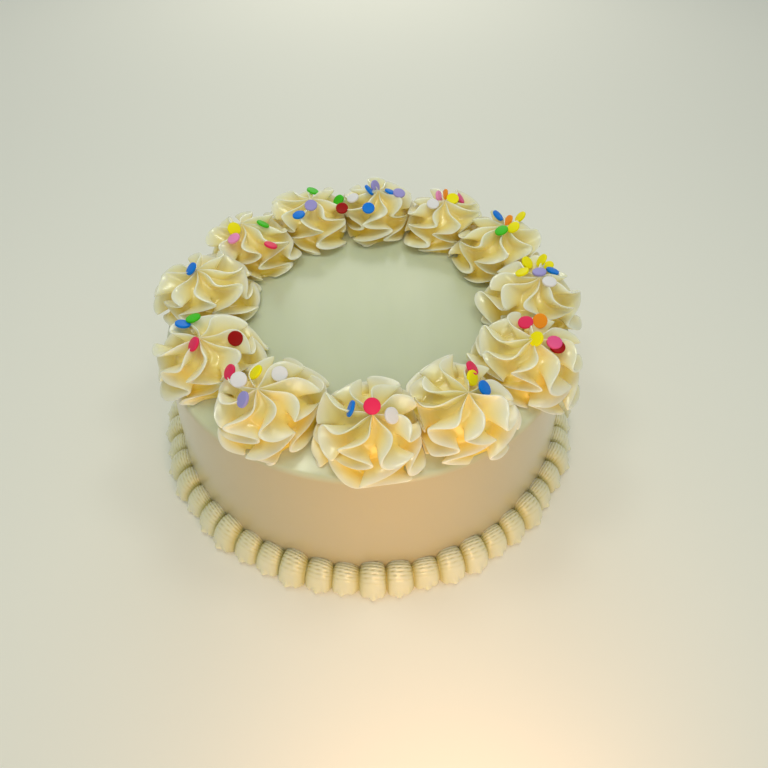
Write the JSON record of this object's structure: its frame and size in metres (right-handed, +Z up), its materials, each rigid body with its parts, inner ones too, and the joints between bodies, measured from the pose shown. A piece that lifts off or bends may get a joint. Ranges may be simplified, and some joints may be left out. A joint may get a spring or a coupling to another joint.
{
  "type": "birthday cake",
  "caption": "Uncut round frosted cake: smooth icing, a ring of piped buttercream swirls with confetti sweets on its rim, and a piped shell border round its foot.",
  "frame": {"origin": "middle of the flat base, where the cake stands", "axes": "+Z up through the middle of the cake, -Y towards the front"},
  "size_m": [0.2156, 0.2141, 0.0943],
  "materials": {
    "buttercream_icing": "smooth satin icing",
    "piped_buttercream": "satin piped cream",
    "border_buttercream": "satin piped cream"
  },
  "bodies": {
    "root": {"cake_body": "buttercream_icing", "dollop_01": "piped_buttercream", "dollop_02": "piped_buttercream", "dollop_03": "piped_buttercream", "dollop_04": "piped_buttercream", "dollop_05": "piped_buttercream", "dollop_06": "piped_buttercream", "dollop_07": "piped_buttercream", "dollop_08": "piped_buttercream", "dollop_09": "piped_buttercream", "dollop_10": "piped_buttercream", "dollop_11": "piped_buttercream", "dollop_12": "piped_buttercream", "shell_border": "border_buttercream"}
  },
  "joints": []
}
